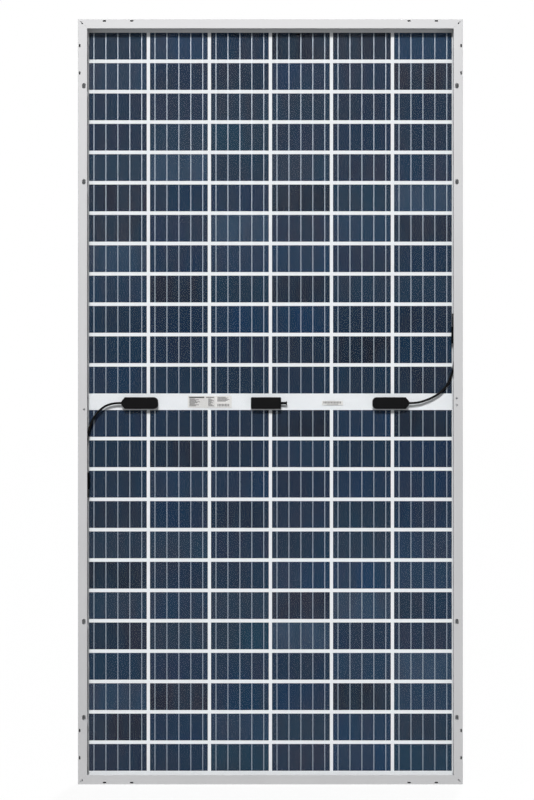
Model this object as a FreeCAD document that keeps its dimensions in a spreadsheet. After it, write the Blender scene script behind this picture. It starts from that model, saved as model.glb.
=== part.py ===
import FreeCAD, Part

# Framed solar module with two glass sheets and 144 half cells, held upright on its short side.
# +X runs to the right as seen from behind, +Y towards the sunny front, +Z up the long side.
# The origin is the centre of the module's box. Lengths are millimetres.
# The rear holds three small junction boxes in the middle band, two leads and their connectors.

import math
import os

import Sketcher

Vector = FreeCAD.Vector

COLUMNS = 6
ROWS_PER_HALF = 12
BUSBARS = 5
BOXES = ("left", "middle", "right")

# Driving dimensions: each is one cell of the sheet named dims.
SIZES = {
    # frame
    "frame_wide": 1002,
    "frame_tall": 1992,
    "frame_deep": 30,
    "frame_wall": 1.5,
    "flange_wide": 24,
    "chamber_wide": 9,
    "lip_wide": 10,
    "edge_round": 0.6,
    "slot_inset": 15.4,
    "slot_wide": 9,
    "slot_long": 14,
    "inner_slots_apart": 1145,
    "outer_slots_apart": 1645,
    "drain_inset": 4.5,
    "drain_wide": 4,
    "drain_long": 9,
    "drain_first": 69,
    "drain_second": 140,
    "mitre_drain_inset": 7.5,
    "mitre_drain_reach": 3.5,
    "earth_round": 2.5,
    "earth_inset": 16,
    "earth_away": 9,
    "earth_away_left": 20,
    "key_leg": 60,
    "key_clear": 0.2,
    # laminate
    "seal_side": 0.6,
    "seal_edge": 1,
    "front_glass_thick": 2,
    "encapsulant_thick": 0.4,
    "ribbon_thick": 0.25,
    "cell_thick": 0.2,
    "print_thick": 0.1,
    "rear_glass_thick": 2,
    "cell_wide": 156.75,
    "cell_tall": 78.375,
    "column_gap": 3.2,
    "row_gap": 1.2,
    "middle_gap": 35.3,
    "strip_wide": 8.6,
    "strip_tall": 9.2,
    "busbar_apart": 31.35,
    "ribbon_wide": 1.2,
    "ribbon_short": 2,
    "bus_wide": 6,
    "bus_away": 3,
    "bus_overhang": 3,
    "bus_split": 6,
    "middle_bus_up": 8,
    "solder_gap": 0.4,
    "tab_wide": 5,
    "tab_apart": 33,
    "lead_hole": 4,
    # labels
    "label_thick": 0.15,
    "rating_wide": 115,
    "rating_tall": 31,
    "rating_x": -159,
    "serial_wide": 55,
    "serial_tall": 11,
    "serial_x": 162.5,
    "serial_z": -3,
    # junction boxes
    "box_z": -3.5,
    "left_nose_away": -69.1,
    "middle_nose_away": 28,
    "right_nose_away": 42.1,
    "side_box_long": 95,
    "middle_box_long": 79,
    "box_wide": 30.6,
    "box_tall": 15.2,
    "box_wall": 2.2,
    "box_floor": 1.8,
    "nose_long": 9,
    "nose_wide": 9,
    "nose_cavity": 16,
    "plug_wall": 5,
    "side_round": 11,
    "middle_round": 3.5,
    "near_round": 3,
    "small_round": 1.2,
    "rebate_wide": 1.2,
    "rebate_deep": 1.6,
    "lid_proud": 0.8,
    "lid_clear": 0.15,
    "lid_field": 0.4,
    "lid_field_inset": 4,
    "hook_long": 8,
    "hook_thick": 1.2,
    "hook_deep": 2.4,
    "adhesive_thick": 0.8,
    "adhesive_inset": 3,
    "gland_up": 9,
    "plate_up": 4.85,
    "plate_thick": 0.8,
    "plate_wide": 17,
    "plate_reach": 8,
    "plate_start": 3,
    "plate_slot": 1,
    "post_round": 2,
    "post_out": 5,
    "cradle_long": 8,
    "cradle_wide": 5.2,
    "diode_long": 8,
    "diode_round": 4,
    "diode_wire": 0.65,
    "diode_out": 6,
    "potting_up": 10.8,
    # leads and connectors
    "lead_round": 3,
    "lead_into_box": 1,
    "core_round": 1.3,
    "core_long": 8,
    "core_clear": 0.02,
    "bore_clear": 0.1,
    "grommet_long": 8,
    "grommet_round": 4.2,
    "grommet_clear": 0.03,
    "plug_neck": 3.2,
    "plug_flare": 4.5,
    "plug_out": 15.5,
    "connector_inset": 18.8,
    "left_tail_z": -184,
    "right_tail_z": 152,
    "nut_long": 22,
    "nut_round": 9.5,
    "nut_back": 4,
    "nut_grooves": 12,
    "thread_round": 7.2,
    "thread_clear": 0.1,
    "seal_pocket_long": 8,
    "seal_pocket_round": 6.1,
    "seal_clear": 0.05,
    "collar_long": 22,
    "collar_round": 9.2,
    "sleeve_long": 22,
    "sleeve_round": 7.4,
    "contact_round": 2.2,
    "contact_clear": 0.05,
    "contact_long": 40,
    "prong_long": 12,
    "prong_wide": 5,
}

# Layer faces, counted back from the front glass. Each is a Y value as an expression on the sheet.
GLASS_FRONT = "(dims.frame_deep / 2 - dims.frame_wall - dims.seal_side)"
GLASS_BACK = f"({GLASS_FRONT} - dims.front_glass_thick)"
RIBBON_FRONT = f"({GLASS_BACK} - dims.encapsulant_thick)"
CELL_FRONT = f"({RIBBON_FRONT} - dims.ribbon_thick)"
CELL_REAR = f"({CELL_FRONT} - dims.cell_thick)"
RIBBON_REAR = f"({CELL_REAR} - dims.ribbon_thick)"
PRINT_FRONT = f"({RIBBON_REAR} - dims.encapsulant_thick)"
PRINT_REAR = f"({PRINT_FRONT} - dims.print_thick)"
GLASS_REAR = f"({PRINT_REAR} - dims.rear_glass_thick)"
BOX_SEAT = f"({GLASS_REAR} - dims.adhesive_thick)"
SHELF_TOP = f"({GLASS_REAR} - dims.seal_side)"
CHAMBER_TOP = f"({SHELF_TOP} - dims.frame_wall)"
GLASS_INSET = "(dims.frame_wall + dims.seal_edge)"
GLASS_WIDE = f"(dims.frame_wide - 2 * {GLASS_INSET})"
GLASS_TALL = f"(dims.frame_tall - 2 * {GLASS_INSET})"
COLUMN = "(dims.cell_wide + dims.column_gap)"
ROW = "(dims.cell_tall + dims.row_gap)"
GLAND_Y = f"({BOX_SEAT} - dims.gland_up)"

# Routes of the two leads behind the rear glass, as X and Z of the points between their runs.
# The first point is the box's nose and the last one the connector's tail.
LEFT_ROUTE = [
    (-389, -3.5),
    (-408, -3.5),
    (-429.5, -9.5),
    (-450, -25),
    (-466, -49),
    (-476.5, -80),
    (-480.9, -115),
    (-482.2, -150),
    (-482.2, -184),
]
RIGHT_ROUTE = [
    (362, -3.5),
    (381, -3.5),
    (402, 2),
    (424, 11),
    (446, 25),
    (463.5, 46),
    (474.5, 73),
    (480.4, 100),
    (482.2, 126.5),
    (482.2, 152),
]
ARC_SHARE = 0.45

doc = FreeCAD.newDocument("solar_module")
sheet = doc.addObject("Spreadsheet::Sheet", "dims")
for row, (alias, value) in enumerate(SIZES.items(), start=1):
    sheet.set(f"A{row}", alias)
    sheet.set(f"B{row}", str(value))
    sheet.setAlias(f"B{row}", alias)
doc.recompute()

subparts = []


# ---------------------------------------------------------------- helpers


def keep(thing, label):
    """Names a finished sub-part and lists it for export."""
    thing.Label = label
    subparts.append(thing)
    return thing


def number(expression):
    """The present value of an expression on the sheet."""
    return float(sheet.evalExpression(str(expression).replace("dims.", "")))


def place(thing, x="0", y="0", z="0", turn=0):
    """Puts an object at expression-bound coordinates, turned about Y by a fixed angle."""
    thing.Placement = FreeCAD.Placement(Vector(), FreeCAD.Rotation(Vector(0, 1, 0), turn))
    for axis, expression in zip("xyz", (x, y, z)):
        thing.setExpression(f"Placement.Base.{axis}", expression)
    return thing


def block(name, low, size):
    """A box from its lowest corner and its size, both as expressions."""
    box = doc.addObject("Part::Box", name)
    for side, expression in zip(("Length", "Width", "Height"), size):
        box.setExpression(side, expression)
    return place(box, *low)


def group(label, pieces):
    """Several separate pieces as one sub-part."""
    compound = doc.addObject("Part::Compound", label)
    compound.Links = pieces
    return keep(compound, label)


def cut(name, base, tool):
    result = doc.addObject("Part::Cut", name)
    result.Base = base
    result.Tool = tool
    return result


def new_body(name, separate=False):
    body = doc.addObject("PartDesign::Body", name)
    body.AllowCompound = separate
    return body


def origin_plane(body, role):
    return next(item for item in body.Origin.OriginFeatures if item.Role == role)


def new_sketch(body, role, lift="0"):
    """A sketch on one of the body's own planes, lifted along the plane's normal.
    XZ_Plane's normal is -Y, so a lift there goes towards the rear."""
    sketch = body.newObject("Sketcher::SketchObject", f"{body.Name}_sketch")
    sketch.AttachmentSupport = [(origin_plane(body, role), "")]
    sketch.MapMode = "FlatFace"
    sketch.setExpression("AttachmentOffset.Base.z", lift)
    return sketch


def bound_constraint(sketch, constraint, expression):
    index = sketch.addConstraint(constraint)
    sketch.setExpression(f"Constraints[{index}]", expression)


def pin(sketch, geometry, end, across, along):
    """Ties one point of a geometry to expression-bound sketch coordinates."""
    for kind, expression in (("DistanceX", across), ("DistanceY", along)):
        value = number(expression)
        bound_constraint(sketch, Sketcher.Constraint(kind, -1, 1, geometry, end, value), expression)


def polygon(sketch, points):
    """A closed outline through points given as pairs of expressions."""
    spots = [Vector(number(across), number(along), 0) for across, along in points]
    first = sketch.GeometryCount
    count = len(points)
    for start, end in zip(spots, spots[1:] + spots[:1]):
        sketch.addGeometry(Part.LineSegment(start, end), False)
    for index in range(count):
        following = first + (index + 1) % count
        sketch.addConstraint(Sketcher.Constraint("Coincident", first + index, 2, following, 1))
    for index, (across, along) in enumerate(points):
        pin(sketch, first + index, 1, across, along)


def rectangle(sketch, left, right, low, high):
    polygon(sketch, [(left, low), (right, low), (right, high), (left, high)])


def belt(sketch, arcs):
    """A closed outline of arcs joined by tangent lines. Each arc is its centre's two expressions,
    its radius as an expression, and its start and end angles in degrees."""
    first = sketch.GeometryCount
    count = len(arcs)
    curves = []
    for across, along, radius, start, end in arcs:
        circle = Part.Circle(Vector(number(across), number(along), 0), Vector(0, 0, 1), number(radius))
        curves.append(Part.ArcOfCircle(circle, math.radians(start), math.radians(end)))
    for curve in curves:
        sketch.addGeometry(curve, False)
    for curve, following in zip(curves, curves[1:] + curves[:1]):
        sketch.addGeometry(Part.LineSegment(curve.EndPoint, following.StartPoint), False)
    for index, (across, along, radius, start, end) in enumerate(arcs):
        line = first + count + index
        sketch.addConstraint(Sketcher.Constraint("Tangent", first + index, 2, line, 1))
        sketch.addConstraint(Sketcher.Constraint("Tangent", line, 2, first + (index + 1) % count, 1))
        pin(sketch, first + index, 3, across, along)
        bound_constraint(sketch, Sketcher.Constraint("Radius", first + index, number(radius)), radius)


def slot(sketch, start, end, radius, heading=0):
    """A round-ended slot between two centres; heading is the angle from start to end."""
    ahead = (*end, radius, heading - 90, heading + 90)
    behind = (*start, radius, heading + 90, heading + 270)
    belt(sketch, [ahead, behind])


def round_rectangle(sketch, near, far, half, near_round, far_round):
    """A rectangle from near to far, centred across, with its own radius at each end."""
    arcs = [
        (f"{far} - {far_round}", f"-({half}) + {far_round}", far_round, -90, 0),
        (f"{far} - {far_round}", f"{half} - {far_round}", far_round, 0, 90),
        (f"{near} + {near_round}", f"{half} - {near_round}", near_round, 90, 180),
        (f"{near} + {near_round}", f"-({half}) + {near_round}", near_round, 180, 270),
    ]
    belt(sketch, arcs)


def circle(sketch, across, along, radius):
    centre = Vector(number(across), number(along), 0)
    index = sketch.addGeometry(Part.Circle(centre, Vector(0, 0, 1), number(radius)), False)
    pin(sketch, index, 3, across, along)
    bound_constraint(sketch, Sketcher.Constraint("Radius", index, number(radius)), radius)


def extrude(body, kind, sketch, length, backwards=False, centred=False):
    """A Pad or Pocket of the sketch. A Pocket has to take material away."""
    doc.recompute()
    before = body.Shape.Volume if kind == "Pocket" else 0
    feature = body.newObject(f"PartDesign::{kind}", f"{body.Name}_{kind.lower()}")
    feature.Profile = sketch
    feature.Reversed = backwards
    feature.Midplane = centred
    feature.setExpression("Length", length)
    doc.recompute()
    if kind == "Pocket" and body.Shape.Volume > before - 1e-6:
        raise ValueError(f"a pocket in {body.Name} removes nothing")
    return feature


def revolve(body, sketch, axis):
    feature = body.newObject("PartDesign::Revolution", f"{body.Name}_turned")
    feature.Profile = sketch
    feature.ReferenceAxis = (sketch, [axis])
    feature.Angle = 360
    doc.recompute()
    return feature


def soften(body, feature, radius, wanted):
    """Fillets the edges of a feature whose middle and direction pass the test."""
    names = []
    for index, edge in enumerate(feature.Shape.Edges, start=1):
        if isinstance(edge.Curve, Part.Line) and wanted(edge.CenterOfMass, edge.Curve.Direction):
            names.append(f"Edge{index}")
    fillet = body.newObject("PartDesign::Fillet", f"{body.Name}_fillet")
    fillet.Base = (feature, names)
    fillet.setExpression("Radius", radius)
    doc.recompute()
    return fillet


def repeat(body, feature, *steps):
    """Repeats a feature. A step is an axis role with a count and a spacing, or a mirror plane."""
    pattern = body.newObject("PartDesign::MultiTransform", f"{body.Name}_pattern")
    pattern.Originals = [feature]
    moves = []
    for step in steps:
        if len(step) == 1:
            move = body.newObject("PartDesign::Mirrored", f"{body.Name}_mirror")
            move.MirrorPlane = (origin_plane(body, step[0]), [""])
        else:
            role, count, spacing = step
            move = body.newObject("PartDesign::LinearPattern", f"{body.Name}_row")
            move.Direction = (origin_plane(body, role), [""])
            move.Mode = "Spacing"
            move.Occurrences = count
            move.setExpression("Offset", spacing)
        moves.append(move)
    pattern.Transformations = moves
    body.Tip = pattern
    doc.recompute()
    return pattern


# ---------------------------------------------------------------- laminate


def glass_sheet(name, front, thick):
    """A full sheet of the laminate, from its front face's Y."""
    low = (f"-{GLASS_WIDE} / 2", f"{front} - {thick}", f"-{GLASS_TALL} / 2")
    return block(name, low, (GLASS_WIDE, thick, GLASS_TALL))


def column_x(column):
    """The centre of a cell column, numbered from 0 on the left."""
    return f"({column - (COLUMNS - 1) / 2} * {COLUMN})"


def tab_places():
    """X of the six lead tabs: at each box's gap between columns, and one spacing to its left."""
    places = []
    for index in range(len(BOXES)):
        gap = f"({2 * (index - 1)} * {COLUMN})"
        places += [f"({gap} - dims.tab_apart)", gap]
    return places


def drilled_sheet(label, front, thick):
    """A sheet of the laminate with the holes that the lead tabs pass through."""
    body = new_body(label)
    sketch = new_sketch(body, "XZ_Plane")
    half_wide = f"{GLASS_WIDE} / 2"
    half_tall = f"{GLASS_TALL} / 2"
    rectangle(sketch, f"-{half_wide}", half_wide, f"-{half_tall}", half_tall)
    extrude(body, "Pad", sketch, thick)
    holes = new_sketch(body, "XZ_Plane", lift=thick)
    for x in tab_places():
        circle(holes, x, "dims.box_z", "dims.lead_hole")
    extrude(body, "Pocket", holes, thick)
    place(body, y=front)
    return body


def grid_windows(body):
    """Opens one window over every half cell in the printed sheet."""
    left = column_x(0)
    first_row = "(dims.middle_gap / 2 + dims.cell_tall / 2)"
    half_wide = f"({COLUMN} - dims.strip_wide) / 2"
    half_tall = f"({ROW} - dims.strip_tall) / 2"
    sketch = new_sketch(body, "XZ_Plane", lift="dims.print_thick")
    rectangle(
        sketch,
        f"{left} - {half_wide}",
        f"{left} + {half_wide}",
        f"{first_row} - {half_tall}",
        f"{first_row} + {half_tall}",
    )
    window = extrude(body, "Pocket", sketch, "dims.print_thick")
    across = ("X_Axis", COLUMNS, COLUMN)
    upward = ("Z_Axis", ROWS_PER_HALF, ROW)
    repeat(body, window, across, upward, ("XY_Plane",))


def make_sheets():
    keep(glass_sheet("front_glass", GLASS_FRONT, "dims.front_glass_thick"), "front_glass")
    front = glass_sheet("front_encapsulant", GLASS_BACK, "dims.encapsulant_thick")
    keep(front, "front_encapsulant")
    rear = drilled_sheet("rear_encapsulant", RIBBON_REAR, "dims.encapsulant_thick")
    keep(rear, "rear_encapsulant")
    printed = drilled_sheet("printed_grid", PRINT_FRONT, "dims.print_thick")
    grid_windows(printed)
    keep(printed, "printed_grid")
    keep(drilled_sheet("rear_glass", PRINT_REAR, "dims.rear_glass_thick"), "rear_glass")


def make_cells():
    """One node per column: 12 half cells above the middle band and 12 below."""
    for column in range(COLUMNS):
        label = f"cells_column_{column + 1}"
        body = new_body(label, separate=True)
        sketch = new_sketch(body, "XZ_Plane")
        low = "dims.middle_gap / 2"
        half = "dims.cell_wide / 2"
        rectangle(sketch, f"-{half}", half, low, f"{low} + dims.cell_tall")
        cell = extrude(body, "Pad", sketch, "dims.cell_thick")
        repeat(body, cell, ("Z_Axis", ROWS_PER_HALF, ROW), ("XY_Plane",))
        place(body, x=column_x(column), y=CELL_FRONT)
        keep(body, label)


def strip(points, x, wide):
    """A flat strip: its side outline as (Y, Z) points, extruded across X and centred on x."""
    corners = [Vector(x - wide / 2, y, z) for y, z in points]
    face = Part.Face(Part.makePolygon(corners + corners[:1]))
    return face.extrude(Vector(wide, 0, 0))


def string_ribbons(x, low, rising):
    """The ribbons of one busbar in one string of cells, with its lowest cell edge at Z = low.
    Each runs along the rear of one cell, through the gap and along the front of the next."""
    wide = number("dims.ribbon_wide")
    tall = number("dims.cell_tall")
    gap = number("dims.row_gap")
    short = number("dims.ribbon_short")
    rear = (number(RIBBON_REAR), number(CELL_REAR))
    front = (number(CELL_FRONT), number(RIBBON_FRONT))
    if not rising:
        rear, front = front[::-1], rear[::-1]
    outer, inner = rear
    facing, away = front
    solids = []
    for cell in range(ROWS_PER_HALF - 1):
        under = low + cell * (tall + gap)
        top = under + tall
        over = top + gap
        outline = [
            (outer, under + short),
            (inner, under + short),
            (inner, top),
            (away, over),
            (away, over + tall - short),
            (facing, over + tall - short),
            (facing, over),
            (outer, top),
        ]
        solids.append(strip(outline, x, wide))
    return solids


def end_ribbon(x, layer, low, high):
    """The straight ribbon from a string's last cell to its bus."""
    near, far = layer
    outline = [(near, low), (far, low), (far, high), (near, high)]
    return strip(outline, x, number("dims.ribbon_wide"))


def make_ribbons():
    """Interconnect ribbons, a node for each half. Neighbouring columns carry current opposite ways,
    so their ribbons cross between the cells in opposite directions."""
    tall = number("dims.cell_tall")
    short = number("dims.ribbon_short")
    half_gap = number("dims.middle_gap") / 2
    length = ROWS_PER_HALF * number(ROW) - number("dims.row_gap")
    bus_reach = number("dims.bus_away") + number("dims.bus_wide")
    bus_middle = number("dims.middle_bus_up")
    solder = number("dims.solder_gap") / 2
    rear = (number(RIBBON_REAR), number(CELL_REAR))
    front = (number(CELL_FRONT), number(RIBBON_FRONT))
    for half in ("upper", "lower"):
        solids = []
        low = half_gap if half == "upper" else -half_gap - length
        top = low + length
        for column in range(COLUMNS):
            rising = (column % 2 == 0) == (half == "upper")
            for busbar in range(BUSBARS):
                step = busbar - (BUSBARS - 1) / 2
                x = number(column_x(column)) + step * number("dims.busbar_apart")
                solids += string_ribbons(x, low, rising)
                low_layer, high_layer = (front, rear) if rising else (rear, front)
                if half == "upper":
                    ends = (bus_middle + solder, top + bus_reach)
                else:
                    ends = (low - bus_reach, bus_middle - solder)
                solids.append(end_ribbon(x, low_layer, ends[0], low + tall - short))
                solids.append(end_ribbon(x, high_layer, top - tall + short, ends[1]))
        ribbons = doc.addObject("Part::Feature", f"{half}_ribbons")
        ribbons.Shape = Part.makeCompound(solids)
        keep(ribbons, f"{half}_ribbons")


def bus(name, left, right, low):
    """A flat bus ribbon in the cell layer, which the string ribbons are soldered to."""
    size = (f"{right} - ({left})", "dims.cell_thick", "dims.bus_wide")
    return block(name, (left, CELL_REAR, low), size)


def make_buses():
    """Bus ribbons: one per pair of columns at the top and bottom, four across the middle band."""
    reach = f"({(BUSBARS - 1) / 2} * dims.busbar_apart + dims.bus_overhang)"
    edge = f"(dims.middle_gap / 2 + {ROWS_PER_HALF} * {ROW} - dims.row_gap + dims.bus_away)"
    lows = {"top": edge, "bottom": f"-{edge} - dims.bus_wide"}
    for end, low in lows.items():
        pieces = []
        for pair in range(COLUMNS // 2):
            left = f"({column_x(2 * pair)} - {reach})"
            right = f"({column_x(2 * pair + 1)} + {reach})"
            pieces.append(bus(f"{end}_bus_{pair + 1}", left, right, low))
        group(f"{end}_bus_ribbons", pieces)
    splits = [f"({2 * (index - 1)} * {COLUMN} - 1.5 * dims.bus_split)" for index in range(3)]
    starts = [f"({column_x(0)} - {reach})"] + [f"({split} + dims.bus_split / 2)" for split in splits]
    ends = [f"({split} - dims.bus_split / 2)" for split in splits]
    ends.append(f"({column_x(COLUMNS - 1)} + {reach})")
    low = "dims.middle_bus_up - dims.bus_wide / 2"
    pieces = []
    for index, (left, right) in enumerate(zip(starts, ends), start=1):
        pieces.append(bus(f"middle_bus_{index}", left, right, low))
    group("middle_bus_ribbons", pieces)


def make_tabs():
    """Six bent tabs: a foot soldered to the middle bus and a leg up through the rear glass."""
    rear = number(RIBBON_REAR)
    inner = number(CELL_REAR)
    half = number("dims.ribbon_thick") / 2
    centre = number("dims.box_z")
    foot_end = number("dims.middle_bus_up + dims.bus_wide / 2")
    leg_end = number(f"{BOX_SEAT} - dims.plate_up - 2 * dims.plate_thick")
    outline = [
        (inner, foot_end),
        (rear, foot_end),
        (rear, centre + half),
        (leg_end, centre + half),
        (leg_end, centre - half),
        (inner, centre - half),
    ]
    solids = [strip(outline, number(x), number("dims.tab_wide")) for x in tab_places()]
    tabs = doc.addObject("Part::Feature", "lead_tabs")
    tabs.Shape = Part.makeCompound(solids)
    return keep(tabs, "lead_tabs")


def make_labels():
    """Two blank stickers on the rear glass."""
    for name, middle in (("rating", "0"), ("serial", "dims.serial_z")):
        wide = f"dims.{name}_wide"
        tall = f"dims.{name}_tall"
        low = (f"dims.{name}_x - {wide} / 2", f"{GLASS_REAR} - dims.label_thick", f"{middle} - {tall} / 2")
        sticker = block(f"{name}_label", low, (wide, "dims.label_thick", tall))
        keep(sticker, f"{name}_label")


# ---------------------------------------------------------------- frame


def member_section(sketch):
    """The profile of a frame member: X inward from its outer face, Y from rear to front."""
    rear = "-dims.frame_deep / 2"
    front = "dims.frame_deep / 2"
    flange_top = f"{rear} + dims.frame_wall"
    lip_under = f"{front} - dims.frame_wall"
    outline = [
        ("0", rear),
        ("dims.flange_wide", rear),
        ("dims.flange_wide", flange_top),
        ("dims.chamber_wide", flange_top),
        ("dims.chamber_wide", CHAMBER_TOP),
        ("dims.lip_wide", CHAMBER_TOP),
        ("dims.lip_wide", SHELF_TOP),
        ("dims.frame_wall", SHELF_TOP),
        ("dims.frame_wall", lip_under),
        ("dims.lip_wide", lip_under),
        ("dims.lip_wide", front),
        ("0", front),
    ]
    polygon(sketch, outline)
    inner_wall = "dims.chamber_wide - dims.frame_wall"
    rectangle(sketch, "dims.frame_wall", inner_wall, flange_top, CHAMBER_TOP)


def mitre_ends(body, length):
    """Cuts both ends of a member at 45 degrees, from the outer corner inward."""
    sketch = new_sketch(body, "XZ_Plane")
    spare = "dims.frame_wall"
    for sign in ("", "-"):
        beyond = f"{sign}({length} / 2 + {spare})"
        tip = f"{sign}({length} / 2 - dims.flange_wide - {spare})"
        inside = f"dims.flange_wide + {spare}"
        polygon(sketch, [(f"-{spare}", beyond), (inside, tip), (inside, beyond)])
    extrude(body, "Pocket", sketch, "2 * dims.frame_deep", centred=True)


def drain_slots(sketch, length):
    """Two slots near each end of a member's chamber, and one across each mitre."""
    reach = "(dims.drain_long - dims.drain_wide) / 2"
    radius = "dims.drain_wide / 2"
    for sign in ("", "-"):
        for away in ("dims.drain_first", "dims.drain_second"):
            middle = f"{sign}({length} / 2 - {away})"
            start = ("dims.drain_inset", f"{middle} - {reach}")
            end = ("dims.drain_inset", f"{middle} + {reach}")
            slot(sketch, start, end, radius, heading=90)
        inset = "dims.mitre_drain_inset"
        far = "dims.mitre_drain_inset + dims.mitre_drain_reach"
        outer = (inset, f"{sign}({length} / 2 - {inset})")
        inner = (far, f"{sign}({length} / 2 - ({far}))")
        slot(sketch, outer, inner, radius, heading=-45 if sign == "" else 45)


def mounting_slots(sketch):
    """Four slots for the bolts that hold the module on its rails."""
    reach = "(dims.slot_long - dims.slot_wide) / 2"
    for sign in ("", "-"):
        for apart in ("dims.inner_slots_apart", "dims.outer_slots_apart"):
            start = ("dims.slot_inset", f"{sign}{apart} / 2 - {reach}")
            end = ("dims.slot_inset", f"{sign}{apart} / 2 + {reach}")
            slot(sketch, start, end, "dims.slot_wide / 2", heading=90)


def make_member(label, length, turn, x="0", z="0", earth_holes=()):
    """A frame member along Z, then turned into place about Y."""
    body = new_body(label)
    section = new_sketch(body, "XY_Plane")
    member_section(section)
    bar = extrude(body, "Pad", section, length, centred=True)
    depth = number("dims.frame_deep") / 2
    outer_corners = {
        (0, -depth),
        (0, depth),
        (number("dims.flange_wide"), -depth),
        (number("dims.lip_wide"), depth),
    }

    def outer_edge(middle, direction):
        return abs(direction.z) > 0.9 and (round(middle.x, 4), round(middle.y, 4)) in outer_corners

    soften(body, bar, "dims.edge_round", outer_edge)
    mitre_ends(body, length)
    holes = new_sketch(body, "XZ_Plane", lift="dims.frame_deep / 2")
    drain_slots(holes, length)
    if earth_holes:
        mounting_slots(holes)
    for inset, away in earth_holes:
        circle(holes, inset, away, "dims.earth_round")
    extrude(body, "Pocket", holes, "1.5 * dims.frame_wall")
    place(body, x=x, z=z, turn=turn)
    keep(body, label)


def make_frame():
    half_wide = "dims.frame_wide / 2"
    half_tall = "dims.frame_tall / 2"
    left_holes = [("dims.earth_inset", "-dims.earth_away_left")]
    right_holes = [("dims.earth_inset", "-dims.earth_away"), ("dims.earth_inset", "dims.earth_away")]
    make_member("frame_left", "dims.frame_tall", 0, x=f"-{half_wide}", earth_holes=left_holes)
    make_member("frame_right", "dims.frame_tall", 180, x=half_wide, earth_holes=right_holes)
    make_member("frame_top", "dims.frame_wide", 90, z=half_tall)
    make_member("frame_bottom", "dims.frame_wide", -90, z=f"-{half_tall}")


def make_corner_keys():
    """Four L-shaped keys pressed into the members' chambers, which hold the mitres together."""
    body = new_body("corner_keys", separate=True)
    sketch = new_sketch(body, "XZ_Plane", lift="dims.frame_deep / 2 - dims.frame_wall - dims.key_clear")
    inset = "(dims.frame_wall + dims.key_clear)"
    wide = "(dims.chamber_wide - 2 * dims.frame_wall - 2 * dims.key_clear)"
    x = f"(dims.frame_wide / 2 - {inset})"
    z = f"(dims.frame_tall / 2 - {inset})"
    outline = [
        (x, z),
        (f"{x} - dims.key_leg", z),
        (f"{x} - dims.key_leg", f"{z} - {wide}"),
        (f"{x} - {wide}", f"{z} - {wide}"),
        (f"{x} - {wide}", f"{z} - dims.key_leg"),
        (x, f"{z} - dims.key_leg"),
    ]
    polygon(sketch, outline)
    depth = f"{CHAMBER_TOP} + dims.frame_deep / 2 - dims.frame_wall - 2 * dims.key_clear"
    key = extrude(body, "Pad", sketch, depth, backwards=True)
    repeat(body, key, ("YZ_Plane",), ("XY_Plane",))
    keep(body, "corner_keys")


def make_sealant():
    """The silicone bead in the frame's groove, wrapped round the laminate's edge."""
    inset = "dims.frame_wall"
    wide = f"(dims.frame_wide - 2 * {inset})"
    tall = f"(dims.frame_tall - 2 * {inset})"
    deep = f"(dims.frame_deep / 2 - dims.frame_wall - {SHELF_TOP})"
    ring = block("sealant_outer", (f"-{wide} / 2", SHELF_TOP, f"-{tall} / 2"), (wide, deep, tall))
    clear_wide = "(dims.frame_wide - 2 * dims.lip_wide)"
    clear_tall = "(dims.frame_tall - 2 * dims.lip_wide)"
    low = (f"-{clear_wide} / 2", SHELF_TOP, f"-{clear_tall} / 2")
    opening = block("sealant_opening", low, (clear_wide, deep, clear_tall))
    laminate = glass_sheet("sealant_laminate", GLASS_FRONT, f"({GLASS_FRONT} - {GLASS_REAR})")
    keep(cut("edge_sealant", cut("sealant_ring", ring, opening), laminate), "edge_sealant")


# ---------------------------------------------------------------- junction boxes


def at_box(thing, spot, up="0", across=0):
    """Places a piece in a box's own frame: +X from the cable end along the box, -Y up from the glass."""
    z = "dims.box_z" if across == 0 else f"dims.box_z + {across}"
    return place(thing, x=spot["nose"], y=f"{BOX_SEAT} - {up}", z=z, turn=spot["turn"])


def box_spots():
    """What differs between the three boxes. Tabs are distances from the cable end."""
    spots = {}
    for index, name in enumerate(BOXES):
        gap = f"({2 * (index - 1)} * {COLUMN})"
        nose = f"({gap} + dims.{name}_nose_away)"
        turned = name != "left"
        at_gap = f"({nose} - {gap})" if turned else f"({gap} - {nose})"
        beside = f"({at_gap} + dims.tab_apart)" if turned else f"({at_gap} - dims.tab_apart)"
        middle = name == "middle"
        spots[name] = {
            "nose": nose,
            "turn": 180 if turned else 0,
            "tabs": (at_gap, beside) if turned else (beside, at_gap),
            "long": "dims.middle_box_long" if middle else "dims.side_box_long",
            "cavity": "dims.plug_wall" if middle else "dims.nose_cavity",
            "round": "dims.middle_round" if middle else "dims.side_round",
            "lead": not middle,
        }
    return spots


def cavity_outline(sketch, spot, grow="0"):
    """The inside of a box's wall, or the same outline grown outwards."""
    wall = f"(dims.box_wall - ({grow}))"
    near = f"({spot['cavity']} - ({grow}))"
    far = f"({spot['long']} - {wall})"
    half = f"(dims.box_wide / 2 - {wall})"
    far_round = f"({spot['round']} - {wall})"
    round_rectangle(sketch, near, far, half, f"({far_round} + dims.near_round) / 3", far_round)


def box_outline(sketch, spot):
    half = "dims.box_wide / 2"
    if spot["lead"]:
        tip = "dims.nose_wide / 2"
        near = [("0", tip), ("0", f"-{tip}"), ("dims.nose_long", f"-{half}")]
        polygon(sketch, near + [(spot["long"], f"-{half}"), (spot["long"], half), ("dims.nose_long", half)])
    else:
        rectangle(sketch, "0", spot["long"], f"-{half}", half)


def tab_slots(sketch, spot, half_tall):
    for tab in spot["tabs"]:
        half = "dims.tab_wide / 2 + dims.plate_slot / 2"
        rectangle(sketch, f"{tab} - ({half})", f"{tab} + {half}", f"-{half_tall}", half_tall)


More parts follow.
